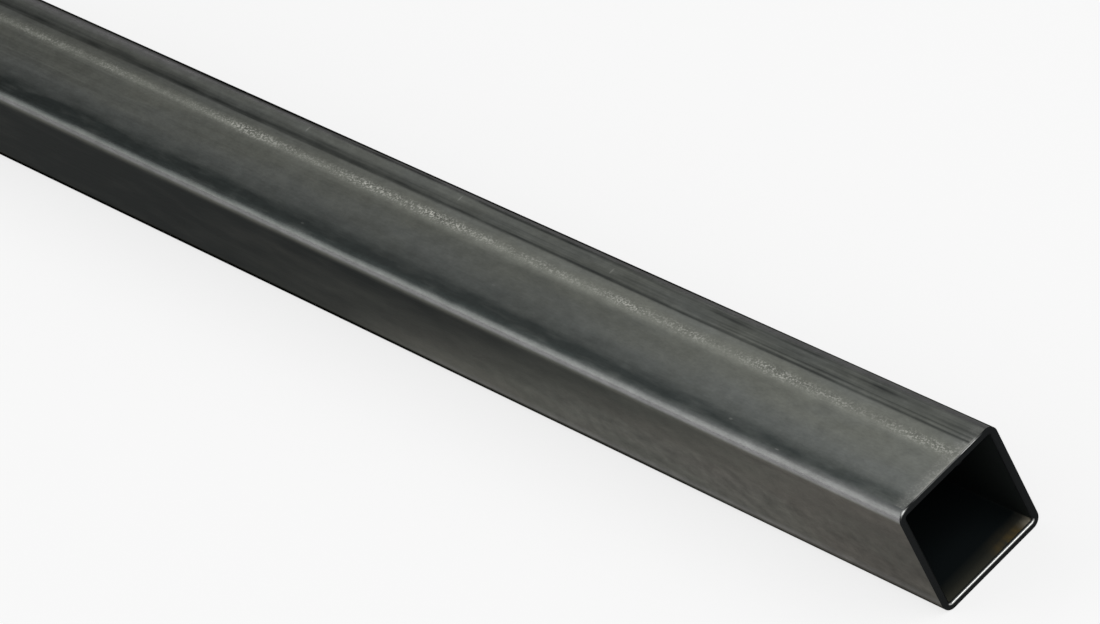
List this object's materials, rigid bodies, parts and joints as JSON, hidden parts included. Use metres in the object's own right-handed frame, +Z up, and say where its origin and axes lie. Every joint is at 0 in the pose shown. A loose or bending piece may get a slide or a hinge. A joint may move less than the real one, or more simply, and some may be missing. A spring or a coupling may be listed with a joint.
{
  "type": "square steel tube",
  "caption": "Length of thin-walled square steel tube with rounded corners, a welded seam and deburred open ends, as framing stock.",
  "frame": {"origin": "middle of the tube's length and width, on the underside that it lies on", "axes": "+X along the tube, +Z up from the side it lies on to the side with the weld seam, +Y across"},
  "size_m": [1, 0.025, 0.025],
  "materials": {
    "mill_steel": "dark mill finish of cold-rolled steel, lightly oiled"
  },
  "bodies": {
    "root": {"tube": "mill_steel"}
  },
  "joints": []
}
